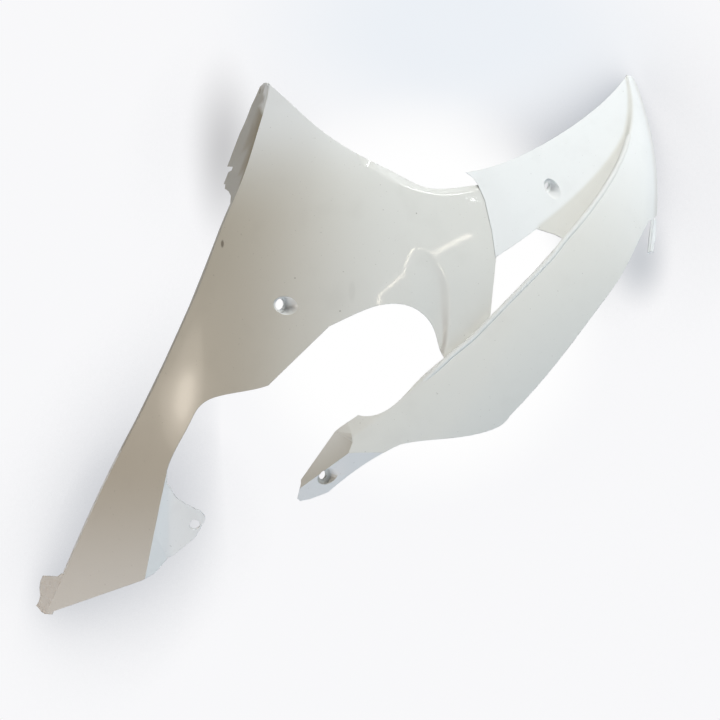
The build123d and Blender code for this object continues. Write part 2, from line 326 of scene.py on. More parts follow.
@dataclass
class MainForm(PanelForm):
    """Outer face of the main panel: dome, saddle roll and air scoop."""

    dome: DomeForm
    saddle_x: float = 171.0
    saddle_z: float = 228.0
    saddle_radius: float = 100.0
    saddle_roll_width: float = 12.0
    saddle_roll_radius: float = 9.0
    scoop_depth: float = 6.0
    scoop_fall: float = 0.143
    scoop_head: float = 58.9
    scoop_head_x: float = 150.0
    scoop_head_tilt: float = -0.328
    scoop_head_soft: float = 2.44
    scoop_x: float = 181.2
    scoop_z: float = 8.0
    scoop_bow_up: float = 72.0
    scoop_bow_down: float = 227.0
    scoop_edge: float = 13.0
    scoop_low_edge: float = 5.0
    scoop_low_z: float = -45.0
    scoop_edge_soft: float = 1.2
    scoop_flat: float = 12.5
    scoop_fade: float = 33.0
    solid_scoop_depth: float = 12.0
    solid_scoop_head: float = 62.0
    solid_scoop_x: float = 178.0
    solid_scoop_z: float = -2.0
    solid_scoop_bow: float = 120.0
    solid_scoop_foot: float = -33.0
    solid_scoop_left: float = 52.0
    solid_scoop_right: float = 12.0
    # Painted light: the outer skin grows paler towards the top tip; faces of the bevel, tab and recess
    # get painted light, the left flange painted shade.
    painted_light_tip_z: float = 120.0
    painted_light_tip_fade: float = 100.0
    bevel_x: float = -160.0
    bevel_foot: float = -320.0
    bevel_head: float = -165.0
    recess_reach: float = 15.0
    flange_x: float = -20.0
    flange_z: float = -160.0
    fine_from_x: float = 85.0
    fine_from_z: float = -70.0
    scoop_reach: float = 9.0
    roll_margin: float = 12.0
    scoop_grain: float = 1.8
    fine_grain: float = 3.0
    coarse_grain: float = 8.0

    def from_saddle(self, x: float, z: float) -> float:
        """How far a place lies inside the round saddle edge."""
        return math.hypot(x - self.saddle_x, z - self.saddle_z) - self.saddle_radius

    def inside_scoop(self, x: float, z: float) -> float:
        """How far a place lies left of the scoop's crisp right-hand border."""
        bow = self.scoop_bow_up if z > self.scoop_z else self.scoop_bow_down
        return self.scoop_x - (z - self.scoop_z) ** 2 / (2 * bow) - x

    def scoop(self, x: float, z: float) -> float:
        """Depth of the air scoop below the dome: a leaf that deepens downwards to the arch.

        Args:
            x: Place along the motorcycle.
            z: Place upwards.

        Returns:
            The depth.
        """
        inside = self.inside_scoop(x, z)
        widening = ease((z - self.scoop_low_z) / (self.scoop_z - self.scoop_low_z))
        edge = self.scoop_low_edge + (self.scoop_edge - self.scoop_low_edge) * widening
        across = ease(self.scoop_edge_soft * ramp(inside / self.scoop_edge_soft) / edge)
        across *= 1 - ease((inside - self.scoop_flat) / self.scoop_fade)
        head = self.scoop_head + self.scoop_head_tilt * (x - self.scoop_head_x)
        fall = self.scoop_fall * self.scoop_head_soft * ramp((head - z) / self.scoop_head_soft)
        return across * self.scoop_depth * (1 - math.exp(-fall / self.scoop_depth))

    def solid_scoop(self, x: float, z: float) -> float:
        """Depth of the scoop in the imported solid.

        Args:
            x: Place along the motorcycle.
            z: Place upwards.

        Returns:
            The depth.
        """
        valley = self.solid_scoop_x - (z - self.solid_scoop_z) ** 2 / (2 * self.solid_scoop_bow)
        width = self.solid_scoop_left if x < valley else -self.solid_scoop_right
        side = (valley - x) / width
        if side >= 1 or z < self.solid_scoop_z - self.solid_scoop_bow:
            return 0.0
        grow = ease((self.solid_scoop_head - z) / (self.solid_scoop_head - self.solid_scoop_foot))
        return self.solid_scoop_depth * grow * (1 - side * side) ** 2

    def shift(self, x: float, z: float) -> float:
        """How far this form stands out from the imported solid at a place."""
        return self.solid_scoop(x, z) - self.scoop(x, z)

    def height(self, x: float, z: float) -> float:
        """Height of the outer face over a place."""
        roll = rolled(self.from_saddle(x, z), self.saddle_roll_width, self.saddle_roll_radius)
        return self.dome.height(x, z) - roll - self.scoop(x, z)

    def tone(self, x: float, z: float, outer: bool, facing: Vector) -> Pair:
        """Painted light on the tip, bevel, tab and recess, and painted shade on the flange.

        Args:
            x: Place along the motorcycle.
            z: Place upwards.
            outer: Whether the face belongs to the outer skin.
            facing: The face's normal.

        Returns:
            The painted light and the painted shade, each from 0 to 1.
        """
        if outer:
            # Painted light: the outer skin grows paler towards the top tip.
            return ease((z - self.painted_light_tip_z) / self.painted_light_tip_fade), 0.0
        if facing.y > self.inner_facing:
            return 0.0, 0.0
        # Painted light on the bevel, tab and fixing recess, painted shade on the left flange.
        at_bevel = x > self.bevel_x and self.bevel_foot < z < self.bevel_head
        at_recess = math.hypot(x, z) < self.recess_reach
        return float(at_bevel or at_recess), float(x < self.flange_x and z > self.flange_z)

    def grain(self, x: float, z: float) -> float:
        """Longest mesh edge that the form needs at a place.

        Args:
            x: Place along the motorcycle.
            z: Place upwards.

        Returns:
            The length.
        """
        if x > self.fine_from_x and z > self.fine_from_z:
            at_border = abs(self.inside_scoop(x, z)) < self.scoop_reach
            return self.scoop_grain if at_border else self.fine_grain
        at_roll = self.from_saddle(x, z) < self.saddle_roll_width + self.roll_margin
        return self.fine_grain if at_roll else self.coarse_grain


@dataclass
class BladeForm(PanelForm):
    """Outer face of the blade panel: upper panel, step wall, bead and crowned blade.

    Its own slanted directions are q, up along the blade, and p, across it.
    """

    dome: DomeForm
    wall: float = 3.0
    lap_gap: float = 0.3
    blade_height: float = 7.0
    blade_rake: float = 0.26
    nose_rake: float = 0.62
    nose_reach: float = 60.0
    nose_start: float = 300.0
    blade_crown_radius: float = 140.0
    bead_p: float = 164.5
    bead_low_q: float = 118.0
    bead_low_radius: float = 1000.0
    bead_high_q: float = 260.0
    bead_high_radius: float = 526.0
    bead_hook: float = 119.0
    bead_hook_power: int = 6
    lip_width: float = 6.0
    tail_lip_width: float = 16.0
    tail_lip_from: float = 30.0
    tail_lip_to: float = -30.0
    step_width: float = 27.0
    step_low_q: float = 262.0
    step_top_q: float = 440.0
    step_run_out: float = 37.0
    step_least: float = 4.0
    step_softness: float = 0.06
    scarf_depth: float = 1.8
    scarf_width: float = 30.0
    thinning: float = 1.4
    thinning_fade: float = 12.0
    seam_x: float = 231.0
    seam_z: float = 45.0
    seam_radius: float = 204.0
    nose_edge_x: float = 427.5
    nose_edge_z: float = 155.0
    nose_edge_radius: float = 380.0
    nose_roll_width: float = 22.0
    nose_roll_radius: float = 14.0
    # Painted light on the upper panel, the blade's top, the bead, the tab and the lower tail facet;
    # painted shade on the nose edge, the step wall and the tail wall.
    painted_light_fade: float = 5.0
    painted_light_from_q: float = 270.0
    painted_light_to_q: float = 430.0
    nose_painted_shade: float = 0.25
    nose_shade_width: float = 8.0
    step_painted_shade: float = 0.12
    step_from_q: float = 225.0
    tail_to_q: float = 30.0
    tail_painted_shade: float = 0.35
    tail_shade_z: float = -135.0
    tail_wall_facing: float = 0.1
    tail_facet_facing: float = -0.15
    bead_reach: float = 9.0
    bead_painted_light: float = 0.5
    tab_x: float = 412.0
    fold_reach: float = 6.0
    fold_grain: float = 2.0
    coarse_grain: float = 6.0

    def bead_line(self, q: float) -> float:
        """Where the beaded edge of the blade runs.

        Args:
            q: Place along the blade.

        Returns:
            The edge's place across it.
        """
        low = max(self.bead_low_q - q, 0.0) ** 2 / (2 * self.bead_low_radius)
        high = max(q - self.bead_high_q, 0.0)
        hook = (high / self.bead_hook) ** self.bead_hook_power
        return self.bead_p - low - high**2 / (2 * self.bead_high_radius) - hook

    def side_width(self, q: float) -> float:
        """Width of the blade's inner side: tail lip, lip at the openings, then the step wall.

        Args:
            q: Place along the blade.

        Returns:
            The width.
        """
        if q < self.tail_lip_from:
            share = ease((self.tail_lip_from - q) / (self.tail_lip_from - self.tail_lip_to))
            return self.lip_width + (self.tail_lip_width - self.lip_width) * share
        if q < self.step_low_q:
            share = ease((q - self.step_low_q + self.step_run_out) / self.step_run_out)
            return self.lip_width + (self.step_width - self.lip_width) * share
        left = (self.step_top_q - q) / (self.step_top_q - self.step_low_q)
        return max(self.step_width * left, self.step_least)

    def face(self, q: float, p: float) -> float:
        """Height of the blade's crowned face.

        Args:
            q: Place along the blade.
            p: Place across it.

        Returns:
            The height.
        """
        height = self.blade_height - self.blade_rake * q
        height -= self.nose_rake * self.nose_reach * ramp((q - self.nose_start) / self.nose_reach)
        beyond_lip = max(p - self.bead_line(q) + self.lip_width, 0.0)
        return height - beyond_lip**2 / (2 * self.blade_crown_radius)

    def nose_edge(self, z: float) -> float:
        """Where the blade's right-hand edge runs."""
        return self.nose_edge_x - (z - self.nose_edge_z) ** 2 / (2 * self.nose_edge_radius)

    def upper(self, q: float, p: float, fade: float) -> float:
        """Share of the upper panel at a place: 1 above the step's foot, 0 from the foot on."""
        return ease((self.bead_line(q) - self.side_width(q) - p) / fade)

    def height(self, x: float, z: float) -> float:
        """Height of the outer face over a place.

        Args:
            x: Place along the motorcycle.
            z: Place upwards.

        Returns:
            The height.
        """
        q, p = slanted(x, z)
        low = self.dome.height(x, z) + (self.wall + self.lap_gap) * self.dome.stretch(x, z)
        side = (p - self.bead_line(q)) / self.side_width(q)
        soft = self.step_softness
        share = soft * (ramp((side + 1) / soft) - ramp(side / soft))
        height = low + (self.face(q, p) - low) * share
        height -= rolled(self.nose_edge(z) - x, self.nose_roll_width, self.nose_roll_radius)
        beyond_seam = x - self.seam_x + (z - self.seam_z) ** 2 / (2 * self.seam_radius)
        scarf = self.scarf_depth + self.thinning * self.upper(q, p, self.thinning_fade)
        return height - scarf * (1 - ease(beyond_seam / self.scarf_width))

    def tone(self, x: float, z: float, outer: bool, facing: Vector) -> Pair:
        """Painted light on the upper panel, bead, top, tab and lower tail facet, and painted shade on
        the tail wall, step wall and nose edge.

        Args:
            x: Place along the motorcycle.
            z: Place upwards.
            outer: Whether the face belongs to the outer skin.
            facing: The face's normal.

        Returns:
            The painted light and the painted shade, each from 0 to 1.
        """
        q, p = slanted(x, z)
        # Painted light on the upper panel.
        upper = self.upper(q, p, self.painted_light_fade)
        beyond = p - self.bead_line(q)
        if outer:
            # Painted light on the blade's top; painted shade along the nose edge and on the step wall.
            top = ease((q - self.painted_light_from_q) / (self.painted_light_to_q - self.painted_light_from_q))
            top *= ease(beyond / self.painted_light_fade)
            rim = self.nose_painted_shade * (1 - ease((self.nose_edge(z) - x) / self.nose_shade_width))
            at_step = q > self.step_from_q and beyond < 0
            return max(upper, top), max(rim, self.step_painted_shade * (1 - upper) if at_step else 0.0)
        if facing.y > self.inner_facing:
            return 0.0, 0.0
        if q < self.tail_to_q:
            # Painted light on the lower tail facet, painted shade on the tail wall.
            on_wall = facing.z > self.tail_wall_facing and z < self.tail_shade_z
            return float(facing.z < self.tail_facet_facing), self.tail_painted_shade if on_wall else 0.0
        # Painted highlight on the bead, painted light on the tab.
        on_bead = self.bead_painted_light if abs(beyond) < self.bead_reach else 0.0
        return max(upper, on_bead, float(x > self.tab_x)), 0.0

    def grain(self, x: float, z: float) -> float:
        """Longest mesh edge that the form needs at a place.

        Args:
            x: Place along the motorcycle.
            z: Place upwards.

        Returns:
            The length.
        """
        q, p = slanted(x, z)
        beyond = p - self.bead_line(q)
        near_fold = min(abs(beyond), abs(beyond + self.side_width(q))) < self.fold_reach
        return self.fold_grain if near_fold else self.coarse_grain


@dataclass(frozen=True)
class SoftSpot:
    """A soft ellipse seen from the outer side, as one node group that marks and patches share."""

    name: str = "soft_spot"

    def group(self) -> bpy.types.NodeTree:
        """The shared group, which is built at the first call."""
        return bpy.data.node_groups.get(self.name) or self.build()

    def build(self) -> bpy.types.NodeTree:
        """Builds the group.

        Returns:
            The group, whose mask goes from 0 at the rim to 1 at the core.
        """
        given = {"Place": "Vector", "Half Size": "Vector", "Rim": "Float", "Core": "Float"}
        net = new_group(self.name, "ShaderNodeTree", given, {"Mask": "Float"})
        values = net.add("NodeGroupInput").outputs
        where = net.add("ShaderNodeTexCoord").outputs["Object"]
        inputs = {"Vector": where, "Location": values["Place"], "Scale": values["Half Size"]}
        moved = net.add("ShaderNodeMapping", inputs, vector_type="TEXTURE").outputs["Vector"]
        reach = net.add("ShaderNodeVectorMath", {0: moved}, operation="LENGTH").outputs["Value"]
        net.add("NodeGroupOutput", {"Mask": net.span(reach, values["Rim"], values["Core"])})
        return net.tree


@dataclass(frozen=True)
class WearAndPaintedLight:
    """How the plastic is worn and where light and shade are painted on it, as one node group that both
    finishes share.

    The painted warm shade, darkest on the left, fades along X and Z, in metres, between the two ends of
    each span.
    """

    name: str = "plastic_wear_and_painted_light"
    # Painted warm shade, darker towards the left of the main panel; it fades out towards the right, the
    # top and the foot.
    left_shade_x: Pair = (0.13, -0.09)
    left_shade_top: Pair = (0.20, 0.08)
    left_shade_foot: Pair = (-0.34, -0.16)
    cloud_scale: float = 26.0
    cloud_detail: float = 5.0
    mottle_span: Pair = (0.50, 0.80)
    mottle_strength: float = 0.05
    grit_scale: float = 420.0
    grit_detail: float = 2.0
    speck_span: Pair = (0.71, 0.78)
    speck_strength: float = 0.35
    gloss_swing: float = 0.12
    ripple_scale: float = 75.0
    ripple_detail: float = 2.0

    def group(self) -> bpy.types.NodeTree:
        """The shared group, which is built at the first call."""
        return bpy.data.node_groups.get(self.name) or self.build()

    def build(self) -> bpy.types.NodeTree:
        """Builds the group.

        Returns:
            The group, which gives the worn colour with its painted light and shade, the roughness and
            the height of a faint ripple.
        """
        given = {name: "Color" for name in ("Plastic", "Painted Light", "Left Shade Colour", "Painted Shade", "Dirt")}
        given |= {"Left Shade Amount": "Float", "Roughness": "Float"}
        made = {"Color": "Color", "Roughness": "Float", "Ripple": "Float"}
        net = new_group(self.name, "ShaderNodeTree", given, made)
        values = net.add("NodeGroupInput").outputs
        where = net.add("ShaderNodeTexCoord").outputs["Object"]
        axes = net.add("ShaderNodeSeparateXYZ", {"Vector": where}).outputs
        # Painted warm shade on the outer skin, darker towards the left.
        left_shade = net.times(net.span(axes["X"], *self.left_shade_x), net.attribute("skin"))
        left_shade = net.times(left_shade, net.span(axes["Z"], *self.left_shade_top))
        left_shade = net.times(left_shade, net.span(axes["Z"], *self.left_shade_foot))
        left_shade = net.times(left_shade, values["Left Shade Amount"])
        # Painted light: the pale attribute lifts the colour to a paler one.
        colour = net.blend(net.attribute("pale"), values["Plastic"], values["Painted Light"])
        colour = net.blend(left_shade, colour, values["Left Shade Colour"])
        # Painted shade where the mesh marks it.
        colour = net.blend(net.attribute("painted_shade"), colour, values["Painted Shade"])
        cloud = net.noise(where, self.cloud_scale, self.cloud_detail)
        mottle = net.times(net.span(cloud, *self.mottle_span), self.mottle_strength)
        colour = net.blend(mottle, colour, values["Dirt"])
        grit = net.noise(where, self.grit_scale, self.grit_detail)
        specks = net.times(net.span(grit, *self.speck_span), self.speck_strength)
        colour = net.blend(specks, colour, values["Dirt"])
        swing = {0: cloud, 1: self.gloss_swing, 2: -self.gloss_swing / 2}
        change = net.add("ShaderNodeMath", swing, operation="MULTIPLY_ADD").outputs["Value"]
        rough = net.add("ShaderNodeMath", {0: change, 1: values["Roughness"]}, operation="ADD")
        ripple = net.noise(where, self.ripple_scale, self.ripple_detail)
        results = {"Color": colour, "Roughness": rough.outputs["Value"], "Ripple": ripple}
        net.add("NodeGroupOutput", results)
        return net.tree


@dataclass(frozen=True)
class Mark:
    """A small stain or nick on a panel."""

    place: Triple
    half_size: Pair
    strength: float


@dataclass(frozen=True)
class PlasticFinish:
    """Off-white moulded plastic, semi-gloss and scuffed, with painted light and painted shade on it."""

    name: str
    colour: Triple = (0.80, 0.79, 0.75)
    # Colour of painted light.
    painted_light_colour: Triple = (0.90, 0.905, 0.90)
    # Colour of the painted warm shade on the left.
    left_shade_colour: Triple = (0.58, 0.53, 0.44)
    # Colour of painted shade.
    painted_shade: Triple = (0.345, 0.295, 0.205)
    dirt: Triple = (0.16, 0.13, 0.10)
    # Strength of the painted warm shade on the left.
    left_shade_amount: float = 0.0
    roughness: float = 0.30
    coat: float = 0.0
    coat_roughness: float = 0.07
    edge_radius: float = 0.0010
    edge_samples: int = 6
    ripple: float = 0.06
    ripple_depth: float = 0.001
    marks: tuple[Mark, ...] = ()
    mark_depth: float = 1.0
    mark_rim: float = 1.2
    mark_core: float = 0.5

    def material(self) -> bpy.types.Material:
        """Builds the finish.

        Returns:
            The new material.
        """
        mat = bpy.data.materials.new(self.name)
        mat.use_nodes = True
        net = Wiring(mat.node_tree)
        # The plastic's own colours, with the colours of painted light and painted shade.
        values = {
            "Plastic": opaque(self.colour),
            "Painted Light": opaque(self.painted_light_colour),
            "Left Shade Colour": opaque(self.left_shade_colour),
            "Painted Shade": opaque(self.painted_shade),
            "Dirt": opaque(self.dirt),
            "Left Shade Amount": self.left_shade_amount,
            "Roughness": self.roughness,
        }
        worn_and_lit = net.add("ShaderNodeGroup", values, node_tree=WearAndPaintedLight().group()).outputs
        colour = worn_and_lit["Color"]
        for mark in self.marks:
            spot = {
                "Place": mark.place,
                "Half Size": (mark.half_size[0], self.mark_depth, mark.half_size[1]),
                "Rim": self.mark_rim,
                "Core": self.mark_core,
            }
            mask = net.add("ShaderNodeGroup", spot, node_tree=SoftSpot().group()).outputs["Mask"]
            colour = net.blend(net.times(mask, mark.strength), colour, opaque(self.dirt))
        edge = net.add("ShaderNodeBevel", {"Radius": self.edge_radius}, samples=self.edge_samples)
        relief = {
            "Strength": self.ripple,
            "Distance": self.ripple_depth,
            "Height": worn_and_lit["Ripple"],
            "Normal": edge.outputs["Normal"],
        }
        surface = {
            "Base Color": colour,
            "Roughness": worn_and_lit["Roughness"],
            "Coat Weight": self.coat,
            "Coat Roughness": self.coat_roughness,
            "Normal": net.add("ShaderNodeBump", relief).outputs["Normal"],
        }
        net.feed(net.tree.nodes["Principled BSDF"], surface)
        return mat


@dataclass
class Bead:
    """The round bead along the blade's inner edge, swept along its line."""

    form: BladeForm
    radius: float = 2.9
    sides: int = 14
    inset: float = 1.2
    cut_inset: float = 4.2
    cut_from: float = 84.0
    cut_to: float = 276.0
    cut_ease: float = 40.0
    first_q: float = 36.0
    last_q: float = 428.0
    step: float = 4.0
    sink: float = 0.5
    end_sink: float = 4.0
    end_run: float = 36.0

    def line(self) -> list[Vector]:
        """Finds the bead's middle line.

        Returns:
            Its points, in metres.
        """
        points = []
        count = round((self.last_q - self.first_q) / self.step)
        for i in range(count + 1):
            q = self.first_q + (self.last_q - self.first_q) * i / count
            cut = ease((q - self.cut_from) / self.cut_ease)
            cut *= ease((self.cut_to - q) / self.cut_ease)
            p = self.form.bead_line(q) + self.inset + (self.cut_inset - self.inset) * cut
            x, z = slanted(q, p)
            free = ease((q - self.first_q) / self.end_run) * ease((self.last_q - q) / self.end_run)
            sink = self.end_sink + (self.sink - self.end_sink) * free
            points.append(Vector((x, sink - self.form.height(x, z), z)) * MM)
        return points

    def tree(self) -> bpy.types.NodeTree:
        """Makes the geometry nodes that sweep a round along a curve.

        Returns:
            The tree, with the round's radius and the finish as inputs.
        """
        given = {"Geometry": "Geometry", "Radius": "Float", "Material": "Material"}
        net = new_group("bead_sweep", "GeometryNodeTree", given, {"Geometry": "Geometry"})
        values = net.add("NodeGroupInput").outputs
        outline = {"Resolution": self.sides, "Radius": values["Radius"]}
        section = net.add("GeometryNodeCurvePrimitiveCircle", outline).outputs["Curve"]
        course = {"Curve": values["Geometry"], "Profile Curve": section, "Fill Caps": True}
        swept = net.add("GeometryNodeCurveToMesh", course).outputs["Mesh"]
        whole = net.add("GeometryNodeRealizeInstances", {"Geometry": swept}).outputs["Geometry"]
        dress = {"Geometry": whole, "Material": values["Material"]}
        dressed = net.add("GeometryNodeSetMaterial", dress).outputs["Geometry"]
        net.add("NodeGroupOutput", {"Geometry": dressed})
        return net.tree

    def sweep(self, material: bpy.types.Material) -> bpy.types.Mesh:
        """Sweeps the bead.

        Args:
            material: The panel's finish.

        Returns:
            The bead's mesh.
        """
        curve = bpy.data.curves.new("bead_line", "CURVE")
        curve.dimensions = "3D"
        spline = curve.splines.new("POLY")
        places = self.line()
        spline.points.add(len(places) - 1)
        for point, place in zip(spline.points, places):
            point.co = (*place, 1.0)
        rail = bpy.data.objects.new("bead_line", curve)
        bpy.context.scene.collection.objects.link(rail)
        nodes = rail.modifiers.new("sweep", "NODES")
        nodes.node_group = self.tree()
        values = {"Radius": self.radius * MM, "Material": material}
        for item in nodes.node_group.interface.items_tree:
            if item.in_out == "INPUT" and item.name in values:
                nodes[item.identifier] = values[item.name]
        depsgraph = bpy.context.evaluated_depsgraph_get()
        mesh = bpy.data.meshes.new_from_object(rail.evaluated_get(depsgraph))
        bpy.data.objects.remove(rail)
        return mesh


@dataclass(frozen=True)
class NoseTab:
    """The flat end of the small tab that shows behind the blade's right-hand edge."""

    outline: tuple[Pair, ...] = (
        (420.7, 106.3),
        (425.9, 104.0),
        (425.3, 84.9),
        (422.4, 65.3),
        (416.1, 68.7),
        (417.8, 84.9),
    )
    front_y: float = 198.7
    thickness: float = 2.6

    def add(self, bm: bmesh.types.BMesh) -> None:
        """Adds the tab's plate to a mesh.

        Args:
            bm: The mesh that gets it.
        """
        back_y = self.front_y + self.thickness
        front = [bm.verts.new((x * MM, self.front_y * MM, z * MM)) for x, z in self.outline]
        back = [bm.verts.new((x * MM, back_y * MM, z * MM)) for x, z in self.outline]
        faces = [bm.faces.new(front), bm.faces.new(back)]
        for i in range(len(front)):
            j = (i + 1) % len(front)
            faces.append(bm.faces.new((front[i], front[j], back[j], back[i])))
        bmesh.ops.recalc_face_normals(bm, faces=faces)


@dataclass
class Moulding:
    """One moulded panel: a refined copy of its solid, set on the exact form and dressed."""

    node: str
    form: PanelForm
    finish: PlasticFinish
    bead: Bead | None = None
    tab: NoseTab | None = None
    weld: float = 1e-6
    rounds: int = 6
    skin_tolerance: float = 1.3
    skin_facing: float = 0.05
    sharp_angle: float = 18.0

    def build(self, frame: dict) -> bpy.types.Object:
        """Makes the panel's mesh from its solid and puts it in the solid's place.


        Returns:
            The dressed panel.
        """
        bm = bmesh.new()
        bm.from_mesh(frame["nodes"][self.node].data)
        bmesh.ops.remove_doubles(bm, verts=bm.verts, dist=self.weld)
        for vert in bm.verts:
            vert.co.y -= self.form.shift(vert.co.x / MM, vert.co.z / MM) * MM
        region = bm.faces.layers.int.new("region")
        self.mark(bm, region)
        self.refine(bm, region)
        self.settle(bm, region)
        material = self.finish.material()
        if self.bead:
            bm.from_mesh(self.bead.sweep(material))
        if self.tab:
            self.tab.add(bm)
        mesh = bpy.data.meshes.new(f"{self.node}_skin")
        bm.to_mesh(mesh)
        regions = [face[region] for face in bm.faces]
        bm.free()
        self.smooth(mesh, regions)
        self.tint(mesh, regions)
        panel = bpy.data.objects.new(f"{self.node}_skin", mesh)
        bpy.context.scene.collection.objects.link(panel)
        mesh.materials.append(material)
        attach(panel, "root")
        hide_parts(self.node)
        return panel

    def off_form(self, vert: bmesh.types.BMVert) -> float:
        """How far a vertex lies behind the outer face, in millimetres."""
        return vert.co.y / MM + self.form.height(vert.co.x / MM, vert.co.z / MM)

    def mark(self, bm: bmesh.types.BMesh, region: bmesh.types.BMLayerItem) -> None:
        """Marks the faces that lie on the outer skin.

        Args:
            bm: The panel's mesh.
            region: The layer that gets each face's region.
        """
        off = {vert.index: abs(self.off_form(vert)) for vert in bm.verts}
        for face in bm.faces:
            on_form = all(off[vert.index] < self.skin_tolerance for vert in face.verts)
            outer = on_form and face.normal.y < -self.skin_facing
            face[region] = (Region.OUTER if outer else Region.OTHER).value

    def refine(self, bm: bmesh.types.BMesh, region: bmesh.types.BMLayerItem) -> None:
        """Splits the outer skin's edges until none is longer than the form needs.

        Args:
            bm: The panel's mesh.
            region: The layer of the faces' regions.
        """
        for _ in range(self.rounds):
            long_edges = []
            for edge in bm.edges:
                if any(face[region] == Region.OUTER.value for face in edge.link_faces):
                    mid = (edge.verts[0].co + edge.verts[1].co) / (2 * MM)
                    if edge.calc_length() / MM > self.form.grain(mid.x, mid.z):
                        long_edges.append(edge)
            if not long_edges:
                break
            bmesh.ops.subdivide_edges(bm, edges=long_edges, cuts=1)
            bmesh.ops.triangulate(bm, faces=[face for face in bm.faces if len(face.verts) > 3])

    def settle(self, bm: bmesh.types.BMesh, region: bmesh.types.BMLayerItem) -> None:
        """Sets the outer skin's vertices on the exact form.

        Args:
            bm: The panel's mesh.
            region: The layer of the faces' regions.
        """
        for vert in bm.verts:
            if any(face[region] == Region.OUTER.value for face in vert.link_faces):
                vert.co.y = -self.form.height(vert.co.x / MM, vert.co.z / MM) * MM

    def smooth(self, mesh: bpy.types.Mesh, regions: list[int]) -> None:
        """Shades the panel smooth, with the form's own normals on the outer skin.

        Args:
            mesh: The panel's mesh.
            regions: The region of each face, in order.
        """
        mesh.polygons.foreach_set("use_smooth", [True] * len(mesh.polygons))
        mesh.set_sharp_from_angle(angle=math.radians(self.sharp_angle))
        normals = [Vector((0.0, 0.0, 0.0))] * len(mesh.loops)
        known: dict[int, Vector] = {}
        for polygon, kind in zip(mesh.polygons, regions):
            if kind != Region.OUTER.value:
                continue
            for loop in polygon.loop_indices:
                index = mesh.loops[loop].vertex_index
                if index not in known:
                    place = mesh.vertices[index].co
                    known[index] = self.form.normal(place.x / MM, place.z / MM)
                normals[loop] = known[index]
        mesh.normals_split_custom_set(normals)

    def tint(self, mesh: bpy.types.Mesh, regions: list[int]) -> None:
        """Writes the outer skin, the painted light and the painted shade into the mesh, for the finish
        to read.

        Args:
            mesh: The panel's mesh.
            regions: The region of each face, in order.
        """
        # Painted light and painted shade, per face corner.
        pale = [0.0] * len(mesh.loops)
        painted_shade = [0.0] * len(mesh.loops)
        for polygon, kind in zip(mesh.polygons, regions):
            outer = kind == Region.OUTER.value
            for loop in polygon.loop_indices:
                place = mesh.vertices[mesh.loops[loop].vertex_index].co / MM
                tone = self.form.tone(place.x, place.z, outer, polygon.normal)
                pale[loop], painted_shade[loop] = tone
        skin = [float(kind) for kind in regions]
        mesh.attributes.new("skin", "FLOAT", "FACE").data.foreach_set("value", skin)
        mesh.attributes.new("pale", "FLOAT", "CORNER").data.foreach_set("value", pale)
        mesh.attributes.new("painted_shade", "FLOAT", "CORNER").data.foreach_set("value", painted_shade)


@dataclass(frozen=True)
class PaintedLightPatch:
    """A soft patch of painted light on the backdrop: a painted glow brighter than the paper, or a
    painted shadow cooler or darker than it.
    """

    place: Pair
    half_size: Pair
    core: float
    colour: Triple


@dataclass(frozen=True)
class Lamp:
    """A lamp with a flat lit face."""

    name: str
    place: Triple
    aim: Triple
    size: Pair
    power: float
    colour: Triple
    along: Triple = (0.0, 0.0, 1.0)
    face: LampFace = LampFace.OBLONG
    mirrored: bool = True

    def hang(self) -> None:
        """Puts the lamp in its place, turned to its aim."""
        light = bpy.data.lights.new(self.name, "AREA")
        light.shape = self.face.value
        light.size, light.size_y = self.size
        light.energy = self.power
        light.color = self.colour
        lamp = bpy.data.objects.new(self.name, light)
        lamp.location = self.place
        away = (Vector(self.place) - Vector(self.aim)).normalized()
        right = Vector(self.along).cross(away).normalized()
        lamp.rotation_euler = Matrix((right, away.cross(right), away)).transposed().to_euler()
        lamp.visible_glossy = self.mirrored
        bpy.context.scene.collection.objects.link(lamp)


def left_lamp(size: Pair, power: float) -> Lamp:
    """One of the oval lamps that together make the soft glare on the waist.

    Args:
        size: Width and height of its face.
        power: Its power in watts.

    Returns:
        The lamp.
    """
    place = (-1.56, -1.35, -0.07)
    waist = (-0.10, 0.02, -0.09)
    colour = (1.0, 0.90, 0.78)
    return Lamp("lamp", place, waist, size, power, colour, face=LampFace.OVAL)


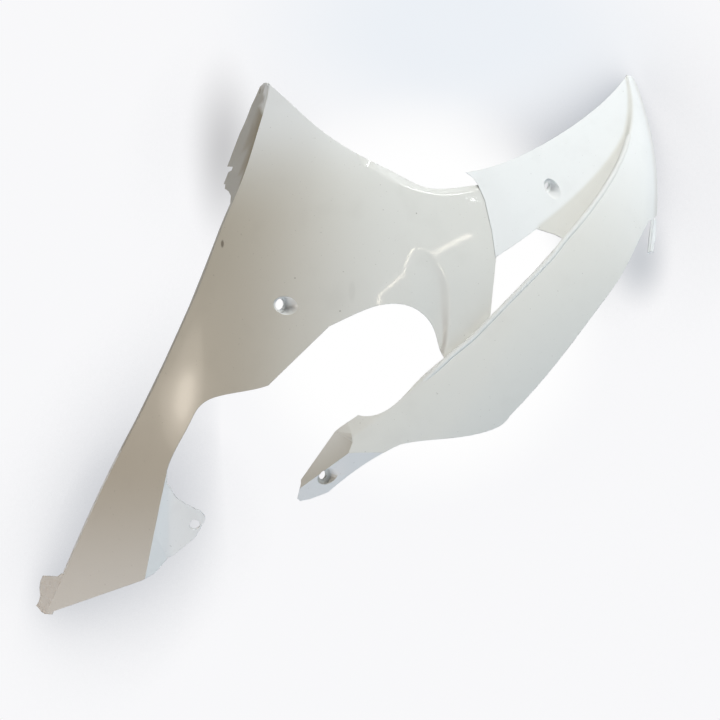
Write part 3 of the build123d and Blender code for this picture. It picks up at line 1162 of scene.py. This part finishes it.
@dataclass
class Studio:
    """Backdrop, lights and camera that show the part as the photograph does."""

    camera_place: Triple = (0.084, -2.0, -0.0583)
    lens: float = 95.24
    sensor: float = 36.0
    near_x: float = -0.45
    near_y: float = 0.135
    far_x: float = 0.55
    far_y: float = 0.28
    bend_steps: int = 60
    backdrop_half: float = 3.0
    paper_colour: Triple = (0.94, 0.94, 0.955)
    bounce_colour: Triple = (0.80, 0.81, 0.83)
    shade_colour: Triple = (0.20, 0.23, 0.28)
    shade_reach: float = 0.16
    shade_power: float = 1.9
    shade_samples: int = 16
    patch_depth: float = 1000.0
    patch_rim: float = 1.0
    # Painted shadows: a cool one above the upper panel and dark ones left of the flange and right of
    # the nose; the last patch is a painted white glow round the arch.
    patches: tuple[PaintedLightPatch, ...] = (
        PaintedLightPatch((0.20, 0.33), (0.33, 0.16), 0.2, (0.84, 0.875, 0.92)),
        PaintedLightPatch((-0.072, 0.180), (0.050, 0.130), 0.0, (0.60, 0.60, 0.61)),
        PaintedLightPatch((0.418, 0.062), (0.045, 0.070), 0.0, (0.60, 0.62, 0.65)),
        PaintedLightPatch((0.155, 0.013), (0.25, 0.26), 0.6, (1.0, 1.0, 1.0)),
    )
    warm_side: Triple = (0.03, 0.026, 0.02)
    cool_side: Triple = (0.03, 0.03, 0.03)
    table_side: Triple = (0.84, 0.97, 1.10)
    side_span: Pair = (-0.9, 0.9)
    table_span: Pair = (-0.1, -0.7)
    lamps: tuple[Lamp, ...] = (
        Lamp(
            "key",
            (1.3, -1.5, 2.0),
            (0.15, 0.05, 0.0),
            (1.6, 1.2),
            63.0,
            (0.97, 1.0, 0.995),
            mirrored=False,
        ),
        Lamp(
            "glow",
            (-0.8, -0.6, -0.75),
            (-0.2, 0.05, -0.28),
            (0.35, 0.35),
            2.3,
            (1.0, 0.66, 0.40),
            mirrored=False,
        ),
        Lamp(
            "tube",
            (1.4966, -1.4965, 0.4845),
            (0.14, 0.01, 0.05),
            (0.022, 1.475),
            1.6,
            (1.0, 0.90, 0.74),
            along=(0.486, 0.617, 0.619),
        ),
        Lamp(
            "window",
            (1.405, -0.24, 1.92),
            (0.17, 0.042, 0.119),
            (0.36, 0.12),
            2.2,
            (0.97, 0.99, 1.0),
        ),
        Lamp(
            "pane",
            (1.846, -0.825, 1.285),
            (0.205, 0.057, 0.115),
            (0.035, 0.022),
            0.045,
            (0.97, 0.99, 1.0),
        ),
        left_lamp((0.13, 0.30), 0.9),
        left_lamp((0.20, 0.46), 1.1),
        left_lamp((0.30, 0.62), 1.1),
    )

    def backdrop(self) -> bpy.types.Object:
        """Hangs the pale backdrop, a smoothly bent sheet.

        Returns:
            The sheet.
        """
        mesh = bpy.data.meshes.new("backdrop")
        half = self.backdrop_half
        run = self.far_x - self.near_x
        rise = self.far_y - self.near_y
        steps = [i / self.bend_steps for i in range(self.bend_steps + 1)]
        bend = [(self.near_x + run * t, self.near_y + rise * ease(t)) for t in steps]
        line = [(-half, self.near_y), *bend, (half, self.far_y)]
        corners = [(x, y, z) for x, y in line for z in (-half, half)]
        strips = [(2 * i, 2 * i + 2, 2 * i + 3, 2 * i + 1) for i in range(len(line) - 1)]
        mesh.from_pydata(corners, [], strips)
        mesh.polygons.foreach_set("use_smooth", [True] * len(strips))
        sheet = bpy.data.objects.new("backdrop", mesh)
        bpy.context.scene.collection.objects.link(sheet)
        mesh.materials.append(self.paper())
        return sheet

    def paper(self) -> bpy.types.Material:
        """Makes the backdrop's paper: pale, with painted shadow close to the part and painted shadows
        and glow in soft patches, and seen from its front only.

        Returns:
            The new material.
        """
        mat = bpy.data.materials.new("backdrop_paper")
        mat.use_nodes = True
        net = Wiring(mat.node_tree)
        net.tree.nodes.clear()
        paper = net.add("ShaderNodeBsdfDiffuse", {"Color": opaque(self.bounce_colour)})
        # Painted shadow: the paper darkens where the part stands close to it, shown to the camera only.
        reach = {"Distance": self.shade_reach}
        near = net.add("ShaderNodeAmbientOcclusion", reach, samples=self.shade_samples)
        deep = {0: near.outputs["AO"], 1: self.shade_power}
        open_share = net.add("ShaderNodeMath", deep, operation="POWER").outputs["Value"]
        colour = net.blend(open_share, opaque(self.shade_colour), opaque(self.paper_colour))
        for patch in self.patches:
            spot = {
                "Place": (patch.place[0], 0.0, patch.place[1]),
                "Half Size": (patch.half_size[0], self.patch_depth, patch.half_size[1]),
                "Rim": self.patch_rim,
                "Core": patch.core,
            }
            mask = net.add("ShaderNodeGroup", spot, node_tree=SoftSpot().group()).outputs["Mask"]
            colour = net.blend(mask, colour, opaque(patch.colour))
        pale = net.add("ShaderNodeEmission", {"Color": colour})
        path = net.add("ShaderNodeLightPath")
        front = {
            "Fac": path.outputs["Is Camera Ray"],
            1: paper.outputs["BSDF"],
            2: pale.outputs["Emission"],
        }
        whole = {
            "Fac": net.add("ShaderNodeNewGeometry").outputs["Backfacing"],
            1: net.add("ShaderNodeMixShader", front).outputs["Shader"],
            2: net.add("ShaderNodeBsdfTransparent").outputs["BSDF"],
        }
        surface = net.add("ShaderNodeMixShader", whole).outputs["Shader"]
        net.add("ShaderNodeOutputMaterial", {"Surface": surface})
        return mat

    def room(self) -> bpy.types.World:
        """Makes the room's light: dim walls, and a bright cool table below.

        Returns:
            The new world, which shows the paper's colour to the camera.
        """
        world = bpy.data.worlds.new("room")
        world.use_nodes = True
        net = Wiring(world.node_tree)
        way = net.add("ShaderNodeTexCoord").outputs["Generated"]
        axes = net.add("ShaderNodeSeparateXYZ", {"Vector": way}).outputs
        rightward = net.span(axes["X"], *self.side_span)
        downward = net.span(axes["Z"], *self.table_span)
        colour = net.blend(rightward, opaque(self.warm_side), opaque(self.cool_side))
        colour = net.blend(downward, colour, opaque(self.table_side))
        seen = net.add("ShaderNodeLightPath").outputs["Is Camera Ray"]
        colour = net.blend(seen, colour, opaque(self.paper_colour))
        net.feed(net.tree.nodes["Background"], {"Color": colour})
        return world

    def build(self) -> None:
        """Sets up everything round the part."""
        scene = bpy.context.scene
        scene.view_settings.view_transform = "Standard"
        scene.world = self.room()
        for lamp in self.lamps:
            lamp.hang()
        self.backdrop()
        camera = bpy.data.objects.new("camera", bpy.data.cameras.new("camera"))
        camera.data.lens = self.lens
        camera.data.sensor_width = self.sensor
        camera.location = self.camera_place
        camera.rotation_euler = (math.radians(90), 0.0, 0.0)
        scene.collection.objects.link(camera)
        scene.camera = camera


def main() -> None:
    """Builds the dressed part and its studio."""
    logging.basicConfig(level=logging.INFO)
    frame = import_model()
    dome = DomeForm()
    blade = BladeForm(dome)
    marks = (
        Mark((-0.0615, 0.0, 0.0645), (0.0018, 0.0045), 0.75),
        Mark((0.0160, 0.0, 0.0274), (0.0008, 0.0008), 0.6),
        Mark((0.0631, 0.0, -0.0071), (0.0009, 0.0008), 0.6),
        Mark((0.1440, 0.0, 0.0976), (0.0008, 0.0009), 0.5),
        Mark((0.0756, 0.0, 0.0136), (0.0040, 0.0120), 0.06),
    )
    # The main panel's finish carries the painted warm shade on its left.
    glossy = PlasticFinish("main_panel_plastic", left_shade_amount=1.0, coat=0.7, marks=marks)
    satin = PlasticFinish("blade_panel_plastic", roughness=0.48)
    panels = [
        Moulding("main_panel", MainForm(dome), glossy, skin_facing=0.48),
        Moulding("blade_panel", blade, satin, Bead(blade), NoseTab(), skin_tolerance=1.6),
    ]
    for panel in panels:
        made = panel.build(frame)
        LOG.info("%s: %d faces", made.name, len(made.data.polygons))
    Studio().build()


if __name__ == "__main__":
    main()
